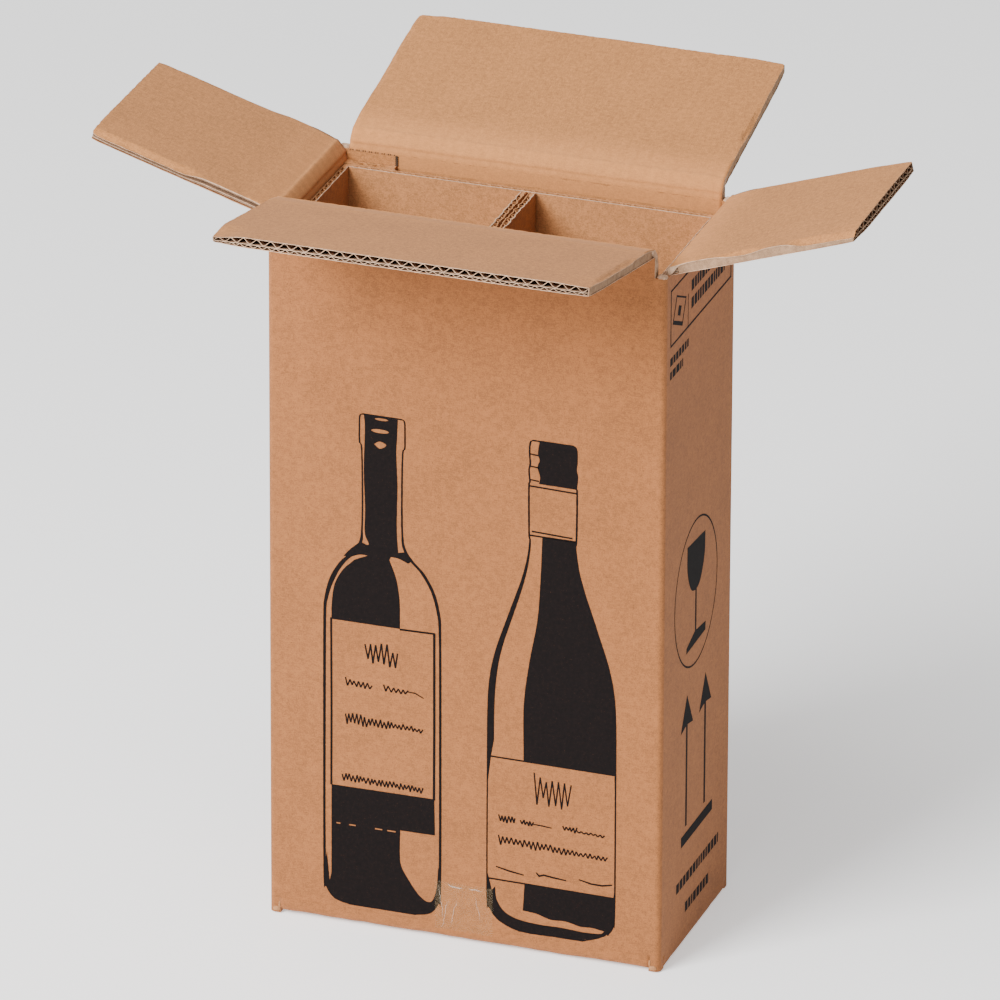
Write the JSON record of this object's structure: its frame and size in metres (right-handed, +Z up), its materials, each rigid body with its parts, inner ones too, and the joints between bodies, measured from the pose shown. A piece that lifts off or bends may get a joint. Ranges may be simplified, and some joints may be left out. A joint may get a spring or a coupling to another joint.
{
  "type": "bottle shipping box",
  "caption": "Tall corrugated cardboard carton for shipping bottles, with hinged top flaps, a taped bottom and a loose divided insert.",
  "frame": {"origin": "centre of the footprint, on the surface that the box stands on", "axes": "+Z up; +X along the wide front wall, to the right when facing it; +Y from the front wall to the back wall"},
  "size_m": [0.4141, 0.315, 0.4301],
  "materials": {
    "carton_board": "matt brown kraft liner, double-wall board",
    "insert_board": "matt brown kraft liner, single-wall board",
    "clear_tape": "clear packing film"
  },
  "bodies": {
    "carton": {"carton_body": "carton_board", "bottle_insert": "insert_board", "bottom_tape": "clear_tape"},
    "front_flap": {"top_flap_front": "carton_board"},
    "back_flap": {"top_flap_back": "carton_board"},
    "left_flap": {"top_flap_left": "carton_board"},
    "right_flap": {"top_flap_right": "carton_board"}
  },
  "joints": [
    {"name": "front_flap_crease", "type": "hinge", "parent": "carton", "child": "front_flap", "pos_m": [0, -0.056, 0.4034], "axis": [1, 0, 0], "range_deg": [-169, 91]},
    {"name": "back_flap_crease", "type": "hinge", "parent": "carton", "child": "back_flap", "pos_m": [0, 0.056, 0.3977], "axis": [-1, 0, 0], "range_deg": [-166, 94]},
    {"name": "left_flap_crease", "type": "hinge", "parent": "carton", "child": "left_flap", "pos_m": [-0.108, 0, 0.392], "axis": [0, -1, 0], "range_deg": [-163, 97]},
    {"name": "right_flap_crease", "type": "hinge", "parent": "carton", "child": "right_flap", "pos_m": [0.108, 0, 0.392], "axis": [0, 1, 0], "range_deg": [-161.5, 98.5]}
  ]
}
